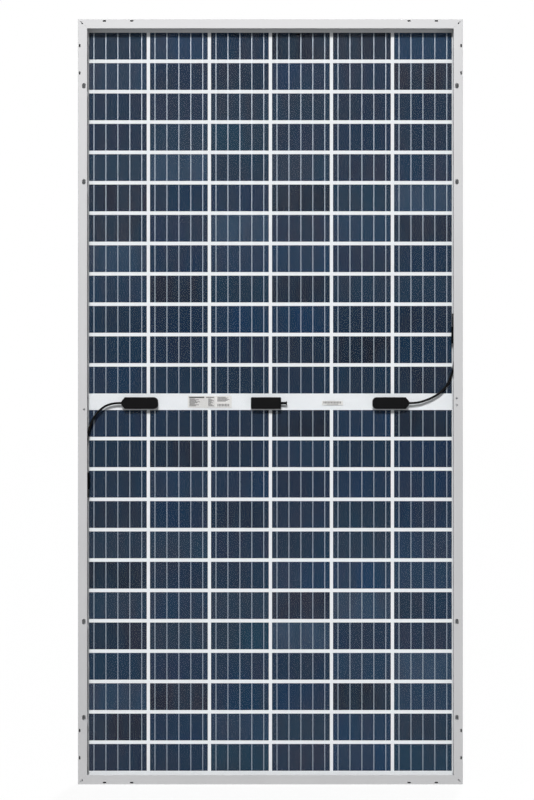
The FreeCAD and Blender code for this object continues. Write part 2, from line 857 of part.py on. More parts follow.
def make_base(name, spot):
    """The box's moulded shell, open at the rear for its lid, with posts for the terminals."""
    body = new_body(f"{name}_box_base")
    outline = new_sketch(body, "XZ_Plane")
    box_outline(outline, spot)
    shell = extrude(body, "Pad", outline, "dims.box_tall")
    long = number(spot["long"])
    middle = long / 2

    def far_corner(spot_middle, direction):
        return abs(direction.y) > 0.9 and spot_middle.x > middle

    def near_corner(spot_middle, direction):
        return abs(direction.y) > 0.9 and spot_middle.x < middle

    shell = soften(body, shell, spot["round"], far_corner)
    near_round = "dims.small_round" if spot["lead"] else spot["round"]
    shell = soften(body, shell, near_round, near_corner)
    cavity = new_sketch(body, "XZ_Plane", lift="dims.box_tall")
    cavity_outline(cavity, spot)
    extrude(body, "Pocket", cavity, "dims.box_tall - dims.box_floor")
    rebate = new_sketch(body, "XZ_Plane", lift="dims.box_tall")
    cavity_outline(rebate, spot, grow="dims.rebate_wide")
    extrude(body, "Pocket", rebate, "dims.rebate_deep")
    posts = new_sketch(body, "XZ_Plane", lift="dims.box_floor")
    for tab in spot["tabs"]:
        circle(posts, tab, "dims.post_out", "dims.post_round")
        circle(posts, tab, "-dims.post_out", "dims.post_round")
    extrude(body, "Pad", posts, "dims.plate_up - dims.box_floor")
    slots = new_sketch(body, "XZ_Plane", lift="dims.box_floor")
    tab_slots(slots, spot, "dims.plate_slot")
    extrude(body, "Pocket", slots, "dims.box_floor")
    bore = new_sketch(body, "YZ_Plane")
    bore_round = "dims.lead_round + dims.bore_clear" if spot["lead"] else "dims.plug_neck + dims.bore_clear"
    circle(bore, "-dims.gland_up", "0", bore_round)
    extrude(body, "Pocket", bore, f"{spot['cavity']} + dims.box_wall", backwards=True)
    if spot["lead"]:
        counterbore = new_sketch(body, "YZ_Plane", lift=f"{spot['cavity']} - dims.grommet_long")
        circle(counterbore, "-dims.gland_up", "0", "dims.grommet_round")
        extrude(body, "Pocket", counterbore, "dims.grommet_long + dims.box_wall", backwards=True)
    return keep(at_box(body, spot), f"{name}_box_base")


def make_lid(name, spot):
    """The snap lid: a plate in the base's rebate, a raised field on it and two hooks under it."""
    body = new_body(f"{name}_box_lid")
    plate = new_sketch(body, "XZ_Plane")
    cavity_outline(plate, spot, grow="dims.rebate_wide - dims.lid_clear")
    extrude(body, "Pad", plate, "dims.rebate_deep + dims.lid_proud")
    field = new_sketch(body, "XZ_Plane", lift="dims.rebate_deep + dims.lid_proud")
    cavity_outline(field, spot, grow="dims.rebate_wide - dims.lid_clear - dims.lid_field_inset / 2")
    extrude(body, "Pad", field, "dims.lid_field")
    hooks = new_sketch(body, "XZ_Plane")
    centre = f"({spot['cavity']} + {spot['long']} - dims.box_wall) / 2"
    wall = "(dims.box_wide / 2 - dims.box_wall - dims.lid_clear)"
    for sign in ("", "-"):
        low = f"{sign}{wall}"
        high = f"{sign}({wall} - dims.hook_thick)"
        rectangle(hooks, f"{centre} - dims.hook_long / 2", f"{centre} + dims.hook_long / 2", low, high)
    extrude(body, "Pad", hooks, "dims.hook_deep", backwards=True)
    at_box(body, spot, up="(dims.box_tall - dims.rebate_deep)")
    return keep(body, f"{name}_box_lid")


def make_terminals(name, spot):
    """Two copper plates on the posts. The one by a lead has a cradle for the lead's core."""
    body = new_body(f"{name}_box_terminals", separate=True)
    plates = new_sketch(body, "XZ_Plane", lift="dims.plate_up")
    near, far = spot["tabs"]
    half = "dims.plate_wide / 2"
    start = f"({spot['cavity']} + dims.plate_start)"
    rectangle(plates, start, f"{near} + dims.plate_reach", f"-{half}", half)
    rectangle(plates, f"{far} - dims.plate_reach", f"{far} + dims.plate_reach", f"-{half}", half)
    extrude(body, "Pad", plates, "dims.plate_thick")
    slots = new_sketch(body, "XZ_Plane", lift="dims.plate_up + dims.plate_thick")
    tab_slots(slots, spot, "dims.plate_slot / 2")
    extrude(body, "Pocket", slots, "dims.plate_thick")
    if spot["lead"]:
        cradle = new_sketch(body, "XZ_Plane", lift="dims.plate_up")
        half = "dims.cradle_wide / 2"
        rectangle(cradle, start, f"{start} + dims.cradle_long", f"-{half}", half)
        extrude(body, "Pad", cradle, "dims.gland_up - dims.plate_up")
        groove = new_sketch(body, "YZ_Plane", lift=spot["cavity"])
        circle(groove, "-dims.gland_up", "0", "dims.core_round + dims.core_clear")
        extrude(body, "Pocket", groove, "2 * dims.cradle_long", backwards=True)
    return keep(at_box(body, spot), f"{name}_box_terminals")


def make_diode(name, spot):
    """A bypass diode, its wires lying on the two terminal plates."""
    body = new_body(f"{name}_box_diode")
    sketch = new_sketch(body, "XZ_Plane")
    near, far = spot["tabs"]
    middle = f"({near} + {far}) / 2"
    reach = "(dims.tab_apart / 2 - dims.tab_wide)"
    half = "dims.diode_long / 2"
    outline = [
        (f"{middle} - {reach}", "0"),
        (f"{middle} + {reach}", "0"),
        (f"{middle} + {reach}", "dims.diode_wire"),
        (f"{middle} + {half}", "dims.diode_wire"),
        (f"{middle} + {half}", "dims.diode_round"),
        (f"{middle} - {half}", "dims.diode_round"),
        (f"{middle} - {half}", "dims.diode_wire"),
        (f"{middle} - {reach}", "dims.diode_wire"),
    ]
    polygon(sketch, outline)
    revolve(body, sketch, "H_Axis")
    up = "(dims.plate_up + dims.plate_thick + dims.diode_wire + dims.core_clear)"
    at_box(body, spot, up=up, across="dims.diode_out")
    return keep(body, f"{name}_box_diode")


def make_potting(name, spot, inside):
    """The soft potting that fills the box up to its level, round everything inside."""
    body = new_body(f"{name}_potting_block")
    sketch = new_sketch(body, "XZ_Plane", lift="dims.box_floor")
    cavity_outline(sketch, spot)
    extrude(body, "Pad", sketch, "dims.potting_up - dims.box_floor")
    at_box(body, spot)
    held = doc.addObject("Part::Compound", f"{name}_held_pieces")
    held.Links = inside
    keep(cut(f"{name}_box_potting", body, held), f"{name}_box_potting")


def make_adhesive(name, spot):
    """The pad of silicone between a box and the rear glass, open round the lead tabs."""
    body = new_body(f"{name}_box_adhesive")
    sketch = new_sketch(body, "XZ_Plane")
    half = "(dims.box_wide / 2 - dims.adhesive_inset)"
    near = "(dims.nose_long + dims.adhesive_inset)" if spot["lead"] else "dims.adhesive_inset"
    far = f"({spot['long']} - dims.adhesive_inset)"
    far_round = f"({spot['round']} - dims.adhesive_inset)" if spot["lead"] else "dims.near_round"
    round_rectangle(sketch, near, far, half, "dims.near_round", far_round)
    extrude(body, "Pad", sketch, "dims.adhesive_thick")
    holes = new_sketch(body, "XZ_Plane", lift="dims.adhesive_thick")
    for tab in spot["tabs"]:
        circle(holes, tab, "0", "dims.lead_hole")
    extrude(body, "Pocket", holes, "dims.adhesive_thick")
    at_box(body, spot, up="(-dims.adhesive_thick)")
    return keep(body, f"{name}_box_adhesive")


def make_grommet(name, spot):
    """The rubber bush that seals a lead in its box's nose."""
    body = new_body(f"{name}_lead_grommet")
    sketch = new_sketch(body, "XZ_Plane")
    far = spot["cavity"]
    near = f"{far} - dims.grommet_long"
    rectangle(sketch, near, far, "dims.lead_round + dims.grommet_clear",
              "dims.grommet_round - dims.grommet_clear")
    revolve(body, sketch, "H_Axis")
    at_box(body, spot, up="dims.gland_up")
    return keep(body, f"{name}_lead_grommet")


def make_blanking_plug(spot):
    """The stopper in the middle box's unused lead hole: a stem, a neck and a flared head."""
    body = new_body("blanking_plug")
    sketch = new_sketch(body, "XZ_Plane")
    head = "dims.plug_out - dims.plug_flare"
    outline = [
        (spot["cavity"], "0"),
        (spot["cavity"], "dims.plug_neck"),
        (f"-({head})", "dims.plug_neck"),
        ("-dims.plug_out + dims.small_round", "dims.plug_flare"),
        ("-dims.plug_out", "dims.plug_flare - dims.small_round / 2"),
        ("-dims.plug_out", "0"),
    ]
    polygon(sketch, outline)
    revolve(body, sketch, "H_Axis")
    at_box(body, spot, up="dims.gland_up")
    return keep(body, "blanking_plug")


# ---------------------------------------------------------------- leads and connectors


def lead_path(points, inside, beyond):
    """Straight runs joined by tangent arcs, with a straight length added at both hidden ends."""
    spots = [Vector(x, number(GLAND_Y), z) for x, z in points]
    start = spots[0] + (spots[0] - spots[1]).normalize() * inside
    finish = spots[-1] + (spots[-1] - spots[-2]).normalize() * beyond
    edges = []
    radii = []
    last = start
    for before, corner, after in zip(spots, spots[1:], spots[2:]):
        arriving = corner - before
        leaving = after - corner
        shorter = min(arriving.Length, leaving.Length)
        half_turn = arriving.getAngle(leaving) / 2
        setback = ARC_SHARE * shorter
        radii.append(setback / math.tan(half_turn))
        arriving.normalize()
        leaving.normalize()
        enter = corner - arriving * setback
        leave = corner + leaving * setback
        inward = (leaving - arriving).normalize()
        centre_away = radii[-1] / math.cos(half_turn)
        crown = corner + inward * (centre_away - radii[-1])
        edges.append(Part.LineSegment(last, enter).toShape())
        edges.append(Part.Arc(enter, crown, leave).toShape())
        last = leave
    edges.append(Part.LineSegment(last, finish).toShape())
    return Part.Wire(edges), radii


def make_lead(name, spot, route):
    """A lead with its bare core at both ends. The route's ends follow the box and the connector."""
    side = -1 if name == "left" else 1
    tail = number(f"dims.{name}_tail_z")
    axis = side * number("dims.frame_wide / 2 - dims.connector_inset")
    points = list(route)
    points[0] = (number(spot["nose"]), number("dims.box_z"))
    points[1] = (points[1][0], points[0][1])
    points[-1] = (axis, tail)
    points[-2] = (axis, points[-2][1])
    inside = number(f"{spot['cavity']} + dims.lead_into_box")
    beyond = number("dims.nut_back + dims.seal_pocket_long")
    path, radii = lead_path(points, inside, beyond)
    spine = doc.addObject("Part::Feature", f"{name}_lead_path")
    spine.Shape = path
    section = doc.addObject("Part::Circle", f"{name}_lead_section")
    section.setExpression("Radius", "dims.lead_round")
    start = path.Edges[0].Vertexes[0].Point
    section.Placement = FreeCAD.Placement(start, FreeCAD.Rotation(Vector(0, 0, 1), Vector(1, 0, 0)))
    jacket = doc.addObject("Part::Sweep", f"{name}_lead_jacket")
    jacket.Sections = [section]
    jacket.Spine = (spine, [f"Edge{index + 1}" for index in range(len(path.Edges))])
    jacket.Solid = True
    cores = []
    ends = ((start, Vector(-side, 0, 0)), (path.Edges[-1].Vertexes[-1].Point, Vector(0, 0, side)))
    for index, (point, heading) in enumerate(ends, start=1):
        core = doc.addObject("Part::Cylinder", f"{name}_lead_core_{index}")
        core.setExpression("Radius", "dims.core_round")
        core.setExpression("Height", "dims.core_long")
        core.Placement = FreeCAD.Placement(point, FreeCAD.Rotation(Vector(0, 0, 1), heading))
        cores.append(core)
    lead = doc.addObject("Part::MultiFuse", f"{name}_lead")
    lead.Shapes = [jacket] + cores
    doc.recompute()
    expected = math.pi * number("dims.lead_round") ** 2 * path.Length
    print(f"{name} lead: {path.Length:.1f} mm of tube, arc radii", [round(radius) for radius in radii])
    print(f"{name} lead: volume over section times length {jacket.Shape.Volume / expected:.4f}")
    return keep(lead, f"{name}_lead")


def at_connector(body, name):
    """Places a piece of a connector: its own +Z runs from its tail to its mating end."""
    side = "-" if name == "left" else ""
    x = f"{side}(dims.frame_wide / 2 - dims.connector_inset)"
    turn = 180 if name == "left" else 0
    return place(body, x=x, y=GLAND_Y, z=f"dims.{name}_tail_z", turn=turn)


def turned_piece(name, piece, outline):
    """A connector piece turned from its half section of radius and height."""
    body = new_body(f"{name}_connector_{piece}")
    sketch = new_sketch(body, "XZ_Plane")
    polygon(sketch, outline)
    revolve(body, sketch, "V_Axis")
    return body


def make_nut(name):
    """The cap nut that squeezes the seal onto the lead, with finger grooves round it."""
    chamfer = "dims.edge_round * 2"
    inner = "dims.thread_round + dims.thread_clear"
    outline = [
        ("dims.lead_round + dims.bore_clear", "0"),
        (f"dims.nut_round - {chamfer}", "0"),
        ("dims.nut_round", chamfer),
        ("dims.nut_round", "dims.nut_long"),
        (inner, "dims.nut_long"),
        (inner, "dims.nut_back"),
        ("dims.lead_round + dims.bore_clear", "dims.nut_back"),
    ]
    body = turned_piece(name, "nut", outline)
    groove = new_sketch(body, "XY_Plane")
    circle(groove, "dims.nut_round + dims.edge_round", "0", "dims.edge_round * 2")
    notch = extrude(body, "Pocket", groove, "dims.nut_long * 0.85", backwards=True)
    around = body.newObject("PartDesign::PolarPattern", f"{name}_nut_pattern")
    around.Originals = [notch]
    around.Axis = (origin_plane(body, "Z_Axis"), [""])
    around.setExpression("Occurrences", "dims.nut_grooves")
    around.Angle = 360
    body.Tip = around
    doc.recompute()
    keep(at_connector(body, name), f"{name}_connector_nut")


def make_housing(name):
    """The insulating housing: threaded tail, collar and front sleeve. The right one has prongs."""
    tail = "dims.nut_back"
    pocket_end = f"{tail} + dims.seal_pocket_long"
    collar = "dims.nut_long + dims.thread_clear"
    sleeve = f"{collar} + dims.collar_long"
    front = f"{sleeve} + dims.sleeve_long"
    hole = "dims.contact_round + dims.contact_clear"
    outline = [
        ("dims.seal_pocket_round", f"{tail} + dims.thread_clear"),
        ("dims.thread_round", f"{tail} + dims.thread_clear"),
        ("dims.thread_round", collar),
        ("dims.collar_round", collar),
        ("dims.collar_round", f"{sleeve} - dims.edge_round"),
        ("dims.collar_round - dims.edge_round", sleeve),
        ("dims.sleeve_round", sleeve),
        ("dims.sleeve_round", front),
        (hole, front),
        (hole, pocket_end),
        ("dims.seal_pocket_round", pocket_end),
    ]
    body = turned_piece(name, "housing", outline)
    if name == "right":
        prongs = new_sketch(body, "XY_Plane", lift=front)
        half = "dims.prong_wide / 2"
        for sign in ("", "-"):
            rectangle(prongs, f"{sign}dims.sleeve_round", f"{sign}(dims.contact_round + 2)", f"-{half}", half)
        extrude(body, "Pad", prongs, "dims.prong_long")
    keep(at_connector(body, name), f"{name}_connector_housing")


def make_contact(name):
    """The turned contact, bored at its tail for the lead's core."""
    tail = "dims.nut_back + dims.seal_pocket_long + dims.seal_clear"
    bore = "dims.core_round + dims.core_clear"
    outline = [
        (bore, tail),
        ("dims.contact_round", tail),
        ("dims.contact_round", f"{tail} + dims.contact_long"),
        ("0", f"{tail} + dims.contact_long"),
        ("0", f"{tail} + dims.core_long + dims.small_round"),
        (bore, f"{tail} + dims.core_long + dims.small_round"),
    ]
    keep(at_connector(turned_piece(name, "contact", outline), name), f"{name}_connector_contact")


def make_seal(name):
    """The rubber ring between the lead and the housing's tail."""
    low = "dims.nut_back + dims.seal_clear"
    high = "dims.nut_back + dims.seal_pocket_long - dims.seal_clear"
    inner = "dims.lead_round + dims.seal_clear"
    outer = "dims.seal_pocket_round - dims.seal_clear"
    outline = [(inner, low), (outer, low), (outer, high), (inner, high)]
    keep(at_connector(turned_piece(name, "seal", outline), name), f"{name}_connector_seal")


def make_boxes(tabs):
    routes = {"left": LEFT_ROUTE, "right": RIGHT_ROUTE}
    for name, spot in box_spots().items():
        inside = [make_base(name, spot), make_terminals(name, spot), make_diode(name, spot), tabs]
        make_lid(name, spot)
        make_adhesive(name, spot)
        if spot["lead"]:
            inside.append(make_lead(name, spot, routes[name]))
            inside.append(make_grommet(name, spot))
            make_nut(name)
            make_housing(name)
            make_contact(name)
            make_seal(name)
        else:
            inside.append(make_blanking_plug(spot))
        make_potting(name, spot, inside)


def check_and_export():
    doc.recompute()
    for item in doc.Objects:
        if "Invalid" in item.State or "Error" in item.State:
            raise RuntimeError(f"{item.Label} failed: {item.State}")
    for item in subparts:
        if item.Shape.isNull() or not item.Shape.isValid():
            raise RuntimeError(f"{item.Label} has no valid shape")
    os.makedirs("parts", exist_ok=True)
    for item in subparts:
        item.Shape.exportStep(f"parts/{item.Label}.step")
    print(len(subparts), "sub-parts written")


make_sheets()
make_cells()
make_ribbons()
make_buses()
lead_tabs = make_tabs()
make_labels()
make_frame()
make_corner_keys()
make_sealant()
make_boxes(lead_tabs)
check_and_export()
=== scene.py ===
"""The looks of a framed double-glass solar panel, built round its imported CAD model."""

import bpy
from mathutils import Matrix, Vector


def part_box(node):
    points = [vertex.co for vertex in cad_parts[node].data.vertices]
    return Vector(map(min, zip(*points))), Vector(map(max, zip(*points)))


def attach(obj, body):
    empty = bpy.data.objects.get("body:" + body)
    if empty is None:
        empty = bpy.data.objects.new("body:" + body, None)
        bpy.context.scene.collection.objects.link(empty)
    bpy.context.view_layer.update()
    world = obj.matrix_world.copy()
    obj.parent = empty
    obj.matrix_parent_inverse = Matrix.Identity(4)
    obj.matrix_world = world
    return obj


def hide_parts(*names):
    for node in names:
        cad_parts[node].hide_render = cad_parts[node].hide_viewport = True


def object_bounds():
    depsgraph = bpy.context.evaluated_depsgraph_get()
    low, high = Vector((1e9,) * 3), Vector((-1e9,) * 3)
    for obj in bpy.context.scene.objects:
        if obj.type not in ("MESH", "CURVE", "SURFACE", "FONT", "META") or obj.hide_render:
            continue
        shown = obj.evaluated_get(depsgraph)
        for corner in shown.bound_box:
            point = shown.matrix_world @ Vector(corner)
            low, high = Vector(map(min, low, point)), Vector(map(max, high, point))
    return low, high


bl_info = {
    "name": "Solar panel finishes",
    "version": (1, 0, 0),
    "blender": (4, 5, 0),
    "location": "3D View > Sidebar > Solar panel",
    "description": "Leads, label prints, finishes and a plain stage for a solar panel",
    "category": "Object",
}

import math

import bmesh
import bpy
from bpy.props import FloatProperty, FloatVectorProperty, IntProperty, PointerProperty
from mathutils import Euler, Matrix, Vector

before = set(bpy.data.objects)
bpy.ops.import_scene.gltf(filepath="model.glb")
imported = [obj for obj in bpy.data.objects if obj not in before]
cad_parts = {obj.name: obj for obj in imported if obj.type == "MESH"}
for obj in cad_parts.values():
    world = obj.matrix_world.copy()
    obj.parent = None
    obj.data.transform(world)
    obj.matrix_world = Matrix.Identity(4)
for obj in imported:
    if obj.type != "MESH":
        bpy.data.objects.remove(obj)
CAD_BOUNDS = [[float(value) for value in corner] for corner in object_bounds()]
MM = 0.001

LEAD_DEPTH = -2.5 * MM
LEFT_ROUTE = (
    (-389.0, -3.5), (-408.0, -3.5), (-429.5, -9.5), (-450.0, -25.0), (-466.0, -49.0),
    (-476.5, -80.0), (-480.9, -115.0), (-482.2, -150.0), (-482.2, -184.0),
)
RIGHT_ROUTE = (
    (362.0, -3.5), (381.0, -3.5), (402.0, 2.0), (424.0, 11.0), (446.0, 25.0),
    (463.5, 46.0), (474.5, 73.0), (480.4, 100.0), (482.2, 126.5), (482.2, 152.0),
)
BOX_NAMES = ("left", "middle", "right")
MAIN_BODY = "module"
LAYER_SHARE = 0.7
MERGE_REACH = 0.001 * MM
ROWS_IN_HALF = 12
HALF_OF_COLUMNS = 3.0
# painted shade: the colour that darkens the cells' middle rows, and the heights over which it fades out
PAINTED_MIDDLE_SHADE = (0.52, 0.66, 0.78)
PAINTED_MIDDLE_SHADE_REACH = (0.12, 0.5)
CURVE_STEPS = 16
CLEAR_GLASS = (34, 52, 54)
CLEAR_FILM = (60, 64, 62)
REAR_LAMP_PLACE = (2.0, 7.0, 5.0)
REAR_LAMP_SHARE = 0.6
SENSOR_HEIGHT = 36.0
FARTHEST_SEEN = 200.0
FLOOR_WHITE_SHARE = 0.9


def tone(red, green, blue):
    """A display colour of 0 to 255 as the linear colour that a shader takes."""
    shares = (red / 255, green / 255, blue / 255)
    return tuple(s / 12.92 if s <= 0.04045 else ((s + 0.055) / 1.055) ** 2.4 for s in shares)


def scaled(colour, share):
    """A colour made lighter or darker by one share."""
    return tuple(min(part * share, 1.0) for part in colour)


def opaque(colour):
    """A colour with the fourth number that a colour socket takes."""
    return (colour[0], colour[1], colour[2], 1.0)


# ---------------------------------------------------------------- shader nodes


class Wire:
    """One output of a node. Arithmetic on it adds Math nodes."""

    def __init__(self, tree, socket):
        self.tree = tree
        self.socket = socket

    def maths(self, operation, first, second=0.0):
        return self.tree.add("ShaderNodeMath", {"operation": operation}, {0: first, 1: second})

    def __add__(self, other):
        return self.maths("ADD", self, other)

    def __radd__(self, other):
        return self.maths("ADD", other, self)

    def __sub__(self, other):
        return self.maths("SUBTRACT", self, other)

    def __rsub__(self, other):
        return self.maths("SUBTRACT", other, self)

    def __mul__(self, other):
        return self.maths("MULTIPLY", self, other)

    def __rmul__(self, other):
        return self.maths("MULTIPLY", other, self)

    def __truediv__(self, other):
        return self.maths("DIVIDE", self, other)

    def __abs__(self):
        return self.maths("ABSOLUTE", self)

    def floor(self):
        return self.maths("FLOOR", self)

    def fraction(self):
        return self.maths("FRACT", self)

    def sign(self):
        return self.maths("SIGN", self)

    def highest(self, other):
        return self.maths("MAXIMUM", self, other)

    def rise(self, start, end):
        """A smooth step from 0 at start to 1 at end."""
        return self.tree.add(
            "ShaderNodeMapRange",
            {"interpolation_type": "SMOOTHSTEP"},
            {"Value": self, "From Min": start, "From Max": end, "To Min": 0.0, "To Max": 1.0},
        )

    def output(self, name):
        """Another output of the same node."""
        return Wire(self.tree, self.socket.node.outputs[name])


class Tree:
    """The nodes of a material or a world."""

    def __init__(self, owner):
        owner.use_nodes = True
        self.owner = owner
        self.nodes = owner.node_tree.nodes
        self.links = owner.node_tree.links
        self.nodes.clear()

    def add(self, kind, settings=None, sockets=None, output=0):
        """Adds any node: its settings first, then the values or links of its sockets."""
        node = self.nodes.new(kind)
        for name, value in (settings or {}).items():
            if name == "stops":
                self.set_stops(node, value)
            else:
                setattr(node, name, value)
        for name, value in (sockets or {}).items():
            if isinstance(value, Wire):
                self.links.new(value.socket, node.inputs[name])
            else:
                node.inputs[name].default_value = value
        if len(node.outputs) == 0:
            return None
        return Wire(self, node.outputs[output])

    def set_stops(self, node, stops):
        """Gives a colour ramp evenly spaced stops."""
        elements = node.color_ramp.elements
        while len(elements) < len(stops):
            elements.new(1.0)
        for index, colour in enumerate(stops):
            elements[index].position = index / (len(stops) - 1)
            elements[index].color = opaque(colour)

    def place(self):
        return self.add("ShaderNodeTexCoord", output="Object")

    def noise(self, place, scale, detail=2.0, roughness=0.5):
        return self.add(
            "ShaderNodeTexNoise",
            {"noise_dimensions": "3D"},
            {"Vector": place, "Scale": scale, "Detail": detail, "Roughness": roughness},
        )

    def stretch(self, place, shares):
        """The place with each axis multiplied, so that a pattern runs along a piece."""
        return self.add("ShaderNodeVectorMath", {"operation": "MULTIPLY"}, {0: place, 1: shares})

    def mix(self, share, first, second, blend="MIX"):
        """Two colours mixed by a share."""
        ends = {0: share}
        for index, colour in ((6, first), (7, second)):
            ends[index] = colour if isinstance(colour, Wire) else opaque(colour)
        settings = {"data_type": "RGBA", "blend_type": blend}
        return self.add("ShaderNodeMix", settings, ends, output=2)

    def dim(self, colour, share):
        """A colour made darker or lighter by a varying share."""
        return self.add("ShaderNodeVectorMath", {"operation": "SCALE"}, {0: colour, "Scale": share})

    def bump(self, height, strength, distance, edge):
        """A small relief, on a normal that rounds the piece's arrises over a radius of edge."""
        sockets = {"Strength": strength, "Distance": distance, "Height": height}
        if edge > 0:
            sockets["Normal"] = self.add("ShaderNodeBevel", {"samples": 4}, {"Radius": edge})
        return self.add("ShaderNodeBump", None, sockets)

    def finish(self, sockets):
        """Ends a material in one Principled shader."""
        shader = self.add("ShaderNodeBsdfPrincipled", None, sockets)
        self.add("ShaderNodeOutputMaterial", None, {"Surface": shader})
        return self.owner


def new_tree(name):
    """The empty nodes of a new material."""
    return Tree(bpy.data.materials.new(name))


def moulded(name, colour, rough, grain=1500.0, spread=0.1, relief=0.15, edge=0.0,
            metal=0.0, gloss=0.5, patch=45.0, run=(1.0, 1.0, 1.0)):
    """A moulded, cast, drawn or rolled finish: soft patches, a fine grain and a small relief."""
    tree = new_tree(name)
    place = tree.stretch(tree.place(), run)
    fine = tree.noise(place, grain, 3.0)
    patches = tree.noise(place, patch, 3.0, 0.6)
    shade = tree.mix(patches, scaled(colour, 1 - spread), scaled(colour, 1 + spread))
    speckled = tree.dim(shade, 1 + (fine - 0.5) * spread)
    return tree.finish({
        "Base Color": speckled,
        "Roughness": rough + (fine - 0.5) * 0.12 + (patches - 0.5) * 0.1,
        "Metallic": metal,
        "Specular IOR Level": gloss,
        "Normal": tree.bump(fine, relief, 0.05 * MM, edge),
    })


def glazing(name, colour, alpha, rough):
    """Clear sheet: a plain alpha, with the faint haze of rolled glass or cured film."""
    tree = new_tree(name)
    haze = tree.noise(tree.place(), 9.0, 4.0, 0.6)
    return tree.finish({
        "Base Color": opaque(colour),
        "Roughness": rough + haze * 0.06,
        "Alpha": alpha,
        "IOR": 1.5,
        "Coat Weight": 0.5,
        "Coat Roughness": 0.03,
    })


def assign(material, *nodes):
    """Gives CAD nodes a finish, by their material slots."""
    for name in nodes:
        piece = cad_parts[name]
        piece.data.materials.clear()
        piece.data.materials.append(material)


# ---------------------------------------------------------------- sizes and colours


class LeadSettings(bpy.types.PropertyGroup):
    diameter: FloatProperty(
        name="Diameter", description="Outside diameter of a lead's jacket",
        default=6 * MM, min=3 * MM, max=12 * MM, precision=4, unit="LENGTH",
    )
    jacket: FloatVectorProperty(
        name="Jacket", description="Colour of the leads' jacket",
        default=tone(10, 10, 11), size=3, min=0.0, max=1.0, subtype="COLOR",
    )
    ring: IntProperty(
        name="Ring", description="Steps round half of a lead's section",
        default=5, min=2, max=12,
    )


class FrameSettings(bpy.types.PropertyGroup):
    metal: FloatVectorProperty(
        name="Anodising", description="Colour of the anodised aluminium",
        default=tone(181, 181, 182), size=3, min=0.0, max=1.0, subtype="COLOR",
    )
    sheen: FloatProperty(
        name="Metal share", description="How far the anodised surface reflects as bare metal",
        default=0.38, min=0.0, max=1.0, subtype="FACTOR",
    )
    edge: FloatProperty(
        name="Arris", description="Radius over which the frame's arrises look rounded",
        default=0.6 * MM, min=0.0, max=3 * MM, precision=4, unit="LENGTH",
    )
    bead: FloatVectorProperty(
        name="Bead", description="Colour of the silicone in the frame's groove",
        default=tone(196, 194, 188), size=3, min=0.0, max=1.0, subtype="COLOR",
    )


class LaminateSettings(bpy.types.PropertyGroup):
    cell_tall: FloatProperty(
        name="Cell height", description="Height of one half cell",
        default=78.375 * MM, min=10 * MM, max=300 * MM, precision=5, unit="LENGTH",
    )
    row_gap: FloatProperty(
        name="Row gap", description="Gap between two half cells in a column",
        default=1.2 * MM, min=0.0, max=10 * MM, precision=5, unit="LENGTH",
    )
    finger_pitch: FloatProperty(
        name="Finger pitch", description="Distance between two printed fingers on a cell",
        default=1.45 * MM, min=0.5 * MM, max=5 * MM, precision=5, unit="LENGTH",
    )
    grid: FloatVectorProperty(
        name="Grid", description="Colour of the ceramic print between the cells",
        default=tone(247, 250, 253), size=3, min=0.0, max=1.0, subtype="COLOR",
    )
    tin: FloatVectorProperty(
        name="Tin", description="Colour of the tinned ribbons",
        default=tone(204, 216, 228), size=3, min=0.0, max=1.0, subtype="COLOR",
    )
    clear: FloatProperty(
        name="Glass", description="Alpha of one face of a glass sheet",
        default=0.05, min=0.0, max=1.0, subtype="FACTOR",
    )


class BoxSettings(bpy.types.PropertyGroup):
    plastic: FloatVectorProperty(
        name="Box", description="Colour of the junction boxes' plastic",
        default=tone(9, 9, 10), size=3, min=0.0, max=1.0, subtype="COLOR",
    )
    edge: FloatProperty(
        name="Arris", description="Radius over which the boxes' arrises look rounded",
        default=0.5 * MM, min=0.0, max=3 * MM, precision=4, unit="LENGTH",
    )


class LabelSettings(bpy.types.PropertyGroup):
    film: FloatVectorProperty(
        name="Film", description="Colour of the label film",
        default=tone(216, 215, 213), size=3, min=0.0, max=1.0, subtype="COLOR",
    )
    ink: FloatVectorProperty(
        name="Ink", description="Colour of the ruled lines and bars",
        default=tone(38, 38, 40), size=3, min=0.0, max=1.0, subtype="COLOR",
    )
    thick: FloatProperty(
        name="Ink thickness", description="How far the print stands on its film",
        default=0.03 * MM, min=0.005 * MM, max=0.5 * MM, precision=6, unit="LENGTH",
    )


class StageSettings(bpy.types.PropertyGroup):
    camera_place: FloatVectorProperty(
        name="Camera", description="Where the camera stands",
        default=(-0.0089, -3.515, 0.0046), size=3, subtype="TRANSLATION", unit="LENGTH",
    )
    lens: FloatProperty(
        name="Lens", description="Focal length for a sensor height of 36",
        default=60.5, min=10.0, max=300.0,
    )
    lamp_place: FloatVectorProperty(
        name="Lamp", description="Where the main lamp hangs",
        default=(-0.5, -8.0, 5.6), size=3, subtype="TRANSLATION", unit="LENGTH",
    )
    lamp_power: FloatProperty(
        name="Lamp strength", description="Strength of each even, far lamp",
        default=3.0, min=0.0, max=20.0,
    )
    softness: FloatProperty(
        name="Softness", description="Angle over which a lamp's light spreads",
        default=math.radians(11), min=0.0, max=math.pi, unit="ROTATION",
    )
    sky: FloatProperty(
        name="Sky", description="Brightness of the soft light from all round",
        default=0.16, min=0.0, max=2.0,
    )
    floor_reach: FloatProperty(
        name="Floor", description="Half of the floor's width",
        default=40.0, min=1.0, max=100.0, unit="LENGTH",
    )


# ---------------------------------------------------------------- the pieces


def link(name, data):
    """A new object at the origin."""
    piece = bpy.data.objects.new(name, data)
    bpy.context.scene.collection.objects.link(piece)
    return piece


def settle(shape, name, material):
    """Ends a bmesh as a new object at the origin, in one finish."""
    mesh = bpy.data.meshes.new(name)
    shape.to_mesh(mesh)
    shape.free()
    mesh.materials.append(material)
    return link(name, mesh)


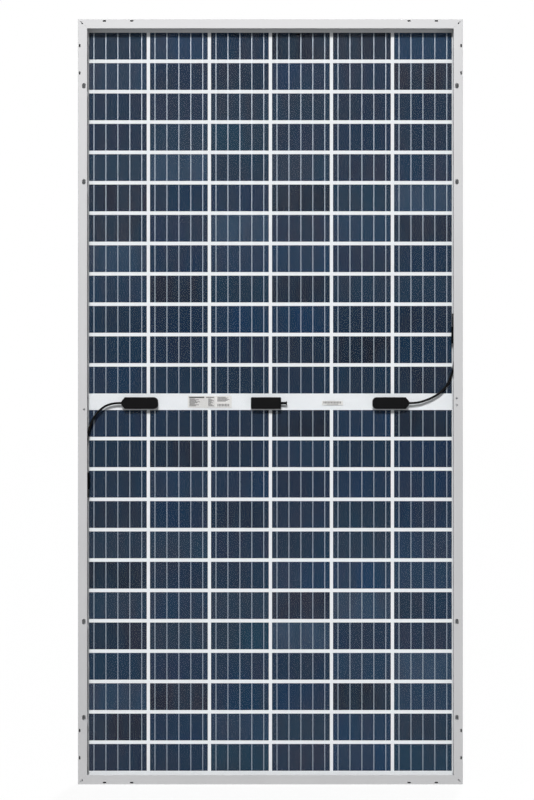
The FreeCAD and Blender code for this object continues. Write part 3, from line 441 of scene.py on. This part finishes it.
def inset_layer(node, name, material):
    """A slightly thinner copy of a flat layer, so that it shares no plane with its neighbours."""
    low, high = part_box(node)
    shape = bmesh.new()
    shape.from_mesh(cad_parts[node].data)
    bmesh.ops.remove_doubles(shape, verts=shape.verts, dist=MERGE_REACH)
    centre = Matrix.Translation((0.0, -(low.y + high.y) / 2, 0.0))
    bmesh.ops.scale(shape, verts=shape.verts, vec=(1.0, LAYER_SHARE, 1.0), space=centre)
    piece = settle(shape, name, material)
    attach(piece, MAIN_BODY)
    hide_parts(node)


def box_middle(node):
    """The middle of a CAD node's box."""
    low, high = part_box(node)
    return (low + high) / 2


class PANELPART_OT_leads(bpy.types.Operator):
    """Lays the two leads from their boxes to their connectors"""

    bl_idname = "panelpart.leads"
    bl_label = "Lay leads"

    def execute(self, context):
        settings = context.scene.panel_leads
        jacket = moulded(
            "lead_jacket", settings.jacket, rough=0.4, grain=900.0, spread=0.12, relief=0.2, gloss=0.08,
        )
        for side, route in (("left", LEFT_ROUTE), ("right", RIGHT_ROUTE)):
            points = [Vector((x * MM, LEAD_DEPTH, z * MM)) for x, z in route]
            lead = self.lay(f"{side}_lead_cord", points, settings)
            lead.data.materials.append(jacket)
            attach(lead, MAIN_BODY)
            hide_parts(f"{side}_lead")
        return {"FINISHED"}

    def lay(self, name, points, settings):
        """One smooth lead, with the route's corners as its control points."""
        curve = bpy.data.curves.new(name, "CURVE")
        curve.dimensions = "3D"
        curve.bevel_depth = settings.diameter / 2
        curve.bevel_resolution = settings.ring
        curve.resolution_u = CURVE_STEPS
        curve.use_fill_caps = True
        line = curve.splines.new("NURBS")
        line.points.add(len(points) - 1)
        for point, target in zip(line.points, points):
            point.co = (target.x, target.y, target.z, 1.0)
        line.order_u = 3
        line.use_endpoint_u = True
        line.use_smooth = True
        return link(name, curve)


class PANELPART_OT_frame(bpy.types.Operator):
    """Gives the frame, its corner keys and its silicone bead their finishes"""

    bl_idname = "panelpart.frame"
    bl_label = "Finish frame"

    def execute(self, context):
        settings = context.scene.panel_frame
        runs = {
            "anodised_upright": ((1.0, 1.0, 0.012), ("frame_left", "frame_right")),
            "anodised_level": ((0.012, 1.0, 1.0), ("frame_top", "frame_bottom")),
        }
        for name, (run, members) in runs.items():
            assign(self.anodised(name, run, settings), *members)
        keys = moulded(
            "key_aluminium", scaled(settings.metal, 0.9), rough=0.5, grain=2200.0, spread=0.1, metal=0.8,
        )
        assign(keys, "corner_keys")
        bead = moulded(
            "frame_silicone", settings.bead, rough=0.55, grain=300.0, spread=0.06, relief=0.3,
        )
        assign(bead, "edge_sealant")
        return {"FINISHED"}

    def anodised(self, name, run, settings):
        """Drawn aluminium: a fine grain along the member, and soft clouds in the anodising."""
        tree = new_tree(name)
        place = tree.place()
        drawn = tree.noise(tree.stretch(place, run), 1600.0, 3.0, 0.6)
        bands = tree.noise(tree.stretch(place, run), 260.0, 2.0)
        clouds = tree.noise(place, 5.5, 4.0, 0.55)
        base = tree.mix(clouds, scaled(settings.metal, 0.93), scaled(settings.metal, 1.07))
        return tree.finish({
            "Base Color": tree.dim(base, 0.97 + drawn * 0.04 + bands * 0.03),
            "Metallic": settings.sheen,
            "Roughness": 0.52 + drawn * 0.08 + clouds * 0.06,
            "Normal": tree.bump(drawn, 0.12, 0.02 * MM, settings.edge),
        })


class PANELPART_OT_laminate(bpy.types.Operator):
    """Gives the cells, ribbons, print, films and glass their finishes"""

    bl_idname = "panelpart.laminate"
    bl_label = "Finish laminate"

    def execute(self, context):
        settings = context.scene.panel_laminate
        columns = [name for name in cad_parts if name.startswith("cells_column_")]
        assign(self.silicon(settings), *columns)
        ribbon = moulded(
            "tinned_ribbon", settings.tin, rough=0.38, grain=1400.0, spread=0.12, relief=0.25,
            metal=0.6, patch=30.0, run=(1.0, 1.0, 0.15),
        )
        assign(ribbon, "upper_ribbons", "lower_ribbons")
        bus = moulded(
            "tinned_bus", settings.tin, rough=0.36, grain=1400.0, spread=0.12, relief=0.25,
            metal=0.7, patch=30.0, run=(0.15, 1.0, 1.0),
        )
        assign(bus, "top_bus_ribbons", "middle_bus_ribbons", "bottom_bus_ribbons", "lead_tabs")
        inset_layer("printed_grid", "ceramic_grid", self.ceramic(settings))
        glass = tone(*CLEAR_GLASS)
        assign(glazing("rear_glass", glass, settings.clear, 0.02), "rear_glass")
        assign(glazing("front_glass", glass, settings.clear, 0.05), "front_glass")
        film = glazing("encapsulant", tone(*CLEAR_FILM), 0.015, 0.2)
        for side in ("front", "rear"):
            inset_layer(f"{side}_encapsulant", f"{side}_film", film)
        return {"FINISHED"}

    def silicon(self, settings):
        """Half cells: each its own blue, with soft patches, printed fingers and darker edges.

        The rows near the middle get painted shade, darker by height, from the middle shade colour. It
        copies one light on the panel, is no property of the cells, and stays under other light. White
        takes it away.
        """
        pitch = abs(box_middle("cells_column_2").x - box_middle("cells_column_1").x)
        low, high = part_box("cells_column_1")
        wide = high.x - low.x
        row_pitch = settings.cell_tall + settings.row_gap
        first_edge = high.z - ROWS_IN_HALF * row_pitch + settings.row_gap
        tree = new_tree("silicon_cell")
        place = tree.place()
        x = tree.add("ShaderNodeSeparateXYZ", None, {0: place}, "X")
        z = x.output("Z")
        column = x / pitch + HALF_OF_COLUMNS
        row = (abs(z) - first_edge) / row_pitch
        label = tree.add(
            "ShaderNodeCombineXYZ", None, {0: column.floor(), 1: row.floor(), 2: z.sign() * 5.0}
        )
        draw = tree.add("ShaderNodeTexWhiteNoise", {"noise_dimensions": "3D"}, {"Vector": label})
        blues = (
            tone(38, 54, 82), tone(38, 68, 90), tone(47, 56, 80), tone(27, 54, 86),
            tone(35, 38, 50), tone(44, 64, 86), tone(38, 36, 48), tone(31, 58, 90),
            tone(42, 60, 84), tone(54, 72, 94),
        )
        own = tree.add("ShaderNodeValToRGB", {"stops": blues}, {0: draw})
        shift = tree.add(
            "ShaderNodeVectorMath", {"operation": "SCALE"}, {0: draw.output("Color"), "Scale": 40.0}
        )
        tall = tree.add(
            "ShaderNodeVectorMath", {"operation": "MULTIPLY_ADD"},
            {0: place, 1: (26.0, 1.0, 9.0), 2: shift},
        )
        patches = tree.noise(tall, 1.0, 2.0).rise(0.3, 0.7)
        hues = tree.noise(tall, 0.45, 2.0).rise(0.35, 0.65)
        warm = tree.mix(hues * 0.5, own, tone(57, 58, 72))
        cool = tree.mix(patches * 0.45, warm, tone(33, 60, 82))
        grains = tree.noise(place, 210.0, 3.0)
        fingers = abs((z / settings.finger_pitch).fraction() - 0.5).rise(0.38, 0.47)
        across = abs(column.fraction() - 0.5) * pitch
        up = abs(row.fraction() - 0.5) * row_pitch
        side = across.rise(wide / 2 - 5 * MM, wide / 2)
        end = up.rise(settings.cell_tall / 2 - 3 * MM, settings.cell_tall / 2)
        # painted shade: the rows near the middle are darkened by height, standing in for one light on
        # the panel
        middle = 1 - abs(z).rise(*PAINTED_MIDDLE_SHADE_REACH)
        cells_with_painted_shade = tree.mix(middle, cool, PAINTED_MIDDLE_SHADE, "MULTIPLY")
        light = (0.94 + grains * 0.12) * (1 + fingers * 0.05) * (1 - side.highest(end) * 0.3)
        sorted_light = light * (0.86 + draw * 0.28)
        return tree.finish({
            "Base Color": tree.dim(cells_with_painted_shade, sorted_light),
            "Roughness": 0.34 + grains * 0.14,
            "Specular IOR Level": 0.04,
            "Normal": tree.bump(grains, 0.05, 0.02 * MM, 0.0),
        })

    def ceramic(self, settings):
        """White ceramic print: a fine dry speckle and faint thick and thin places."""
        tree = new_tree("white_ceramic_print")
        place = tree.place()
        frit = tree.noise(place, 1300.0, 3.0, 0.7)
        film = tree.noise(place, 14.0, 4.0, 0.6)
        base = tree.mix(film, scaled(settings.grid, 0.95), scaled(settings.grid, 1.02))
        return tree.finish({
            "Base Color": tree.dim(base, 0.97 + frit * 0.05),
            "Roughness": 0.42 + frit * 0.12,
            "Specular IOR Level": 0.3,
            "Normal": tree.bump(frit, 0.08, 0.02 * MM, 0.0),
        })


class PANELPART_OT_boxes(bpy.types.Operator):
    """Gives the junction boxes and what is in them their finishes"""

    bl_idname = "panelpart.boxes"
    bl_label = "Finish junction boxes"

    def execute(self, context):
        settings = context.scene.panel_boxes
        black = settings.plastic
        edge = settings.edge
        finishes = {
            "base": moulded(
                "box_plastic", black, rough=0.5, grain=950.0, spread=0.16, relief=0.4, edge=edge,
                gloss=0.06,
            ),
            "lid": moulded(
                "lid_plastic", scaled(black, 1.12), rough=0.46, grain=1100.0, spread=0.16,
                relief=0.5, edge=edge, gloss=0.06,
            ),
            "terminals": moulded(
                "terminal_copper", tone(214, 138, 96), rough=0.33, spread=0.15, metal=0.95,
                run=(0.1, 1.0, 1.0),
            ),
            "diode": moulded(
                "diode_epoxy", tone(26, 26, 27), rough=0.42, grain=900.0, relief=0.3,
                edge=0.2 * MM,
            ),
            "potting": moulded(
                "potting_silicone", tone(64, 64, 66), rough=0.25, grain=120.0, relief=0.2,
            ),
            "adhesive": moulded(
                "box_adhesive", tone(226, 226, 222), rough=0.5, grain=260.0, spread=0.05, relief=0.3,
            ),
        }
        for part, finish in finishes.items():
            assign(finish, *(f"{name}_box_{part}" for name in BOX_NAMES))
        plug = moulded(
            "plug_plastic", scaled(black, 1.2), rough=0.45, grain=1000.0, spread=0.16, relief=0.4,
            edge=edge, gloss=0.06,
        )
        assign(plug, "blanking_plug")
        rubber = moulded(
            "seal_rubber", tone(16, 16, 17), rough=0.62, grain=700.0, spread=0.12, relief=0.3, gloss=0.1,
        )
        for side in ("left", "right"):
            assign(rubber, f"{side}_lead_grommet", f"{side}_connector_seal")
        return {"FINISHED"}


class PANELPART_OT_connectors(bpy.types.Operator):
    """Gives the connectors on the leads their finishes"""

    bl_idname = "panelpart.connectors"
    bl_label = "Finish connectors"

    def execute(self, context):
        settings = context.scene.panel_boxes
        shell = moulded(
            "connector_plastic", scaled(settings.plastic, 1.1), rough=0.42, grain=1200.0,
            spread=0.14, relief=0.35, edge=0.3 * MM, gloss=0.06,
        )
        pin = moulded(
            "contact_metal", tone(205, 203, 196), rough=0.25, grain=1800.0, spread=0.1, metal=1.0,
        )
        for side in ("left", "right"):
            assign(shell, f"{side}_connector_nut", f"{side}_connector_housing")
            assign(pin, f"{side}_connector_contact")
        return {"FINISHED"}


class PANELPART_OT_labels(bpy.types.Operator):
    """Gives the labels their film, and prints plain ruled lines and bars on them"""

    bl_idname = "panelpart.labels"
    bl_label = "Print labels"

    def execute(self, context):
        settings = context.scene.panel_labels
        film = moulded(
            "label_film", settings.film, rough=0.4, grain=800.0, spread=0.03, relief=0.1, patch=25.0,
        )
        assign(film, "rating_label", "serial_label")
        ink = moulded(
            "label_ink", settings.ink, rough=0.5, grain=1800.0, spread=0.15, relief=0.1,
        )
        for name, bars in (("rating", self.table()), ("serial", self.strip())):
            low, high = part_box(f"{name}_label")
            middle = (low + high) / 2
            shape = bmesh.new()
            for edges in bars:
                self.bar(shape, middle, low.y, settings.thick, edges)
            piece = settle(shape, f"{name}_print", ink)
            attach(piece, MAIN_BODY)
        return {"FINISHED"}

    def bar(self, shape, middle, face, thick, edges):
        """One printed bar, from its edges in millimetres from the label's middle."""
        left, bottom, right, top = (edge * MM for edge in edges)
        centre = Vector((middle.x + (left + right) / 2, face - thick / 2, middle.z + (bottom + top) / 2))
        size = Matrix.Diagonal((right - left, thick * 1.4, top - bottom, 1.0))
        bmesh.ops.create_cube(shape, size=1.0, matrix=Matrix.Translation(centre) @ size)

    def table(self):
        """A heading, a ruled table with an entry each side, and a block of short lines."""
        bars = [(-54.0, 9.8, -14.0, 13.2), (-10.0, 10.6, 12.0, 12.6)]
        for line in range(9):
            height = 8.6 - 2.6 * line
            bars.append((-54.0, height, 14.0, height + 0.3))
        for row in range(8):
            foot = 6.9 - 2.6 * row
            bars.append((-53.0, foot, -53.0 + 14.0 + 3.5 * (row * 3 % 5), foot + 1.3))
            bars.append((-4.0, foot, -4.0 + 7.0 + 2.0 * (row * 2 % 5), foot + 1.3))
        for row in range(6):
            foot = 11.4 - 2.1 * row
            bars.append((20.0, foot, 20.0 + 22.0 + 2.4 * (row * 3 % 5), foot + 1.2))
        bars += self.stripes(20.0, 52.0, -12.2, -5.4)
        return bars

    def strip(self):
        """A row of upright stripes over one short line."""
        return self.stripes(-24.0, 24.0, -1.6, 3.8) + [(-15.0, -4.0, 15.0, -3.0)]

    def stripes(self, left, right, bottom, top):
        """Upright stripes of four widths, between two edges."""
        bars = []
        start = left
        count = 0
        while start < right - 1.0:
            wide = 0.5 + 0.35 * (count * 5 % 4)
            bars.append((start, bottom, start + wide, top))
            start += wide + 0.5 + 0.3 * (count * 3 % 4)
            count += 1
        return bars


class PANELPART_OT_stage(bpy.types.Operator):
    """Sets the floor, the lamps, the sky and the camera"""

    bl_idname = "panelpart.stage"
    bl_label = "Set stage"

    def execute(self, context):
        settings = context.scene.panel_stage
        self.floor(settings)
        self.sky(context.scene, settings)
        low, high = (Vector(corner) for corner in CAD_BOUNDS)
        aim = (low + high) / 2
        rear_power = settings.lamp_power * REAR_LAMP_SHARE
        self.lamp("main_lamp", settings.lamp_place, aim, settings.lamp_power, settings.softness)
        self.lamp("rear_lamp", REAR_LAMP_PLACE, aim, rear_power, settings.softness)
        camera = bpy.data.cameras.new("camera")
        camera.sensor_fit = "VERTICAL"
        camera.sensor_height = SENSOR_HEIGHT
        camera.lens = settings.lens
        camera.clip_end = FARTHEST_SEEN
        stand = link("camera", camera)
        stand.location = settings.camera_place
        stand.rotation_euler = Euler((math.radians(90), 0.0, 0.0))
        context.scene.camera = stand
        context.scene.view_settings.view_transform = "Standard"
        return {"FINISHED"}

    def lamp(self, name, place, aim, power, softness):
        """A far soft lamp that faces the panel and lights it evenly."""
        light = bpy.data.lights.new(name, "SUN")
        light.energy = power
        light.angle = softness
        piece = link(name, light)
        piece.location = place
        piece.rotation_euler = (aim - Vector(place)).to_track_quat("-Z", "Y").to_euler()

    def seen(self, tree):
        """1 for the rays that show the surroundings, straight, in gloss or through glass."""
        path = tree.add("ShaderNodeLightPath", output="Is Camera Ray")
        gloss = path.output("Is Glossy Ray")
        return path.highest(gloss).highest(path.output("Is Transmission Ray"))

    def floor(self, settings):
        """A pale floor that keeps its shadow: near white to look at, mid grey to bounced light."""
        shape = bmesh.new()
        bmesh.ops.create_grid(shape, x_segments=1, y_segments=1, size=settings.floor_reach)
        bmesh.ops.translate(shape, verts=shape.verts, vec=(0.0, 0.0, CAD_BOUNDS[0][2]))
        tree = new_tree("pale_floor")
        grain = tree.noise(tree.place(), 30.0, 3.0)
        seen = self.seen(tree)
        dull = tree.mix(grain, (0.40, 0.40, 0.40), (0.44, 0.44, 0.44))
        pale = tree.mix(seen, dull, (0.95, 0.95, 0.95))
        plain = tree.add("ShaderNodeBsdfDiffuse", None, {"Color": pale})
        white = tree.add("ShaderNodeEmission", None, {"Color": (1.0, 1.0, 1.0, 1.0), "Strength": 1.0})
        both = tree.add("ShaderNodeMixShader", None, {0: seen * FLOOR_WHITE_SHARE, 1: plain, 2: white})
        tree.add("ShaderNodeOutputMaterial", None, {"Surface": both})
        settle(shape, "floor", tree.owner)

    def sky(self, scene, settings):
        """A white surround to look at, and a plain grey one to light with."""
        scene.world = bpy.data.worlds.new("surround")
        tree = Tree(scene.world)
        grey = (settings.sky, settings.sky, settings.sky * 1.02)
        shade = tree.mix(self.seen(tree), grey, (1.0, 1.0, 1.0))
        light = tree.add("ShaderNodeBackground", None, {"Color": shade, "Strength": 1.0})
        tree.add("ShaderNodeOutputWorld", None, {"Surface": light})


class PANELPART_PT_sidebar(bpy.types.Panel):
    """The sidebar's list of steps"""

    bl_idname = "PANELPART_PT_sidebar"
    bl_label = "Solar panel"
    bl_space_type = "VIEW_3D"
    bl_region_type = "UI"
    bl_category = "Solar panel"

    def draw(self, context):
        for step in STEPS:
            self.layout.operator(step.bl_idname)
        for name, group in GROUPS.items():
            part = self.layout.box()
            part.label(text=group.__name__.replace("Settings", ""))
            for key in group.__annotations__:
                part.prop(getattr(context.scene, name), key)


GROUPS = {
    "panel_leads": LeadSettings,
    "panel_frame": FrameSettings,
    "panel_laminate": LaminateSettings,
    "panel_boxes": BoxSettings,
    "panel_labels": LabelSettings,
    "panel_stage": StageSettings,
}
STEPS = (
    PANELPART_OT_stage,
    PANELPART_OT_leads,
    PANELPART_OT_frame,
    PANELPART_OT_laminate,
    PANELPART_OT_boxes,
    PANELPART_OT_connectors,
    PANELPART_OT_labels,
)


def register():
    """Registers the settings, the steps and the sidebar."""
    for name, group in GROUPS.items():
        bpy.utils.register_class(group)
        setattr(bpy.types.Scene, name, PointerProperty(type=group))
    for step in STEPS:
        bpy.utils.register_class(step)
    bpy.utils.register_class(PANELPART_PT_sidebar)


def unregister():
    """Takes away what register() added."""
    bpy.utils.unregister_class(PANELPART_PT_sidebar)
    for step in reversed(STEPS):
        bpy.utils.unregister_class(step)
    for name, group in GROUPS.items():
        delattr(bpy.types.Scene, name)
        bpy.utils.unregister_class(group)


def main():
    """Runs every step in order."""
    register()
    bpy.ops.panelpart.stage()
    bpy.ops.panelpart.leads()
    bpy.ops.panelpart.frame()
    bpy.ops.panelpart.laminate()
    bpy.ops.panelpart.boxes()
    bpy.ops.panelpart.connectors()
    bpy.ops.panelpart.labels()


if __name__ == "__main__":
    main()
